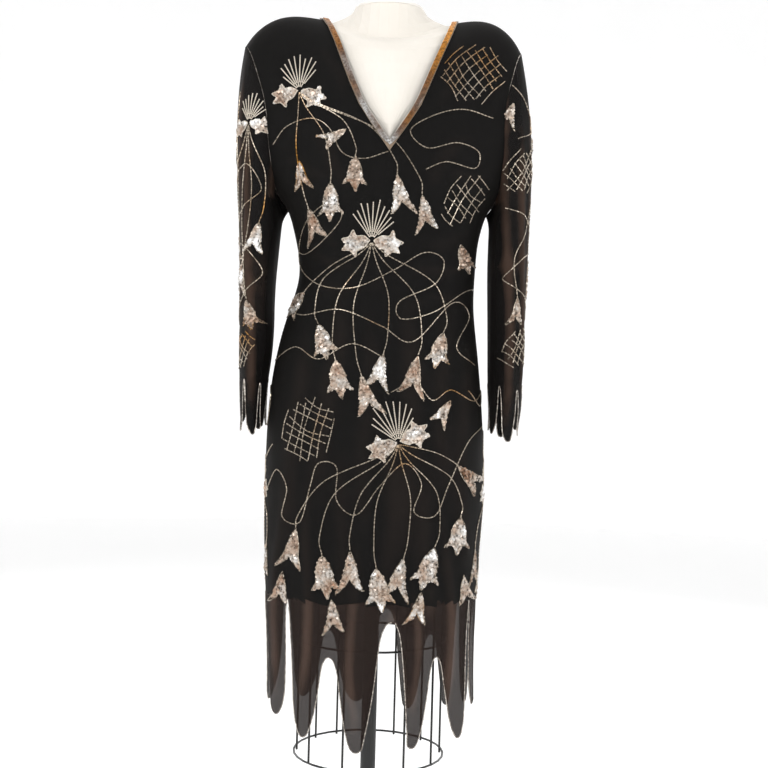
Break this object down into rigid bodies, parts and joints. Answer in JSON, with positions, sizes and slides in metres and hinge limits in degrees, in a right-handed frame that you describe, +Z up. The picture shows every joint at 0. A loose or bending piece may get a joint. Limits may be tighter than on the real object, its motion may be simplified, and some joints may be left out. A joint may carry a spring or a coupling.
{
  "type": "beaded evening dress on a dress form",
  "caption": "Long-sleeved V-neck beaded evening dress with a sheer tongue-cut hem and finger cuffs, filled out on a limbless dress form with a wire cage and round foot.",
  "frame": {"origin": "centre of the form's foot, on the floor", "axes": "+Z up, -Y to the dress's front, +X to the picture's right"},
  "size_m": [0.4745, 0.38, 1.4155],
  "materials": {
    "outer_cloth": "matte crepe chiffon with bead work",
    "sleeve_cloth": "sheer chiffon",
    "lining_cloth": "opaque crepe",
    "beaded_binding": "close rows of glass beads",
    "form_jersey": "smooth pale jersey",
    "cap_wood": "satin varnish",
    "black_metal": "black paint"
  },
  "bodies": {
    "root": {"back_panel": "outer_cloth", "cage_ring_1": "black_metal", "cage_ring_2": "black_metal", "cage_ring_3": "black_metal", "cage_upright_01": "black_metal", "cage_upright_02": "black_metal", "cage_upright_03": "black_metal", "cage_upright_04": "black_metal", "cage_upright_05": "black_metal", "cage_upright_06": "black_metal", "cage_upright_07": "black_metal", "cage_upright_08": "black_metal", "cage_upright_09": "black_metal", "cage_upright_10": "black_metal", "form_base": "black_metal", "form_collar": "black_metal", "form_neck_cap": "cap_wood", "form_pole": "black_metal", "form_torso": "form_jersey", "front_panel": "outer_cloth", "lining_back": "lining_cloth", "lining_front": "lining_cloth", "neck_binding_back": "beaded_binding", "neck_binding_left": "beaded_binding", "neck_binding_right": "beaded_binding", "sleeve_left_back": "sleeve_cloth", "sleeve_left_front": "sleeve_cloth", "sleeve_right_back": "sleeve_cloth", "sleeve_right_front": "sleeve_cloth"}
  },
  "joints": []
}
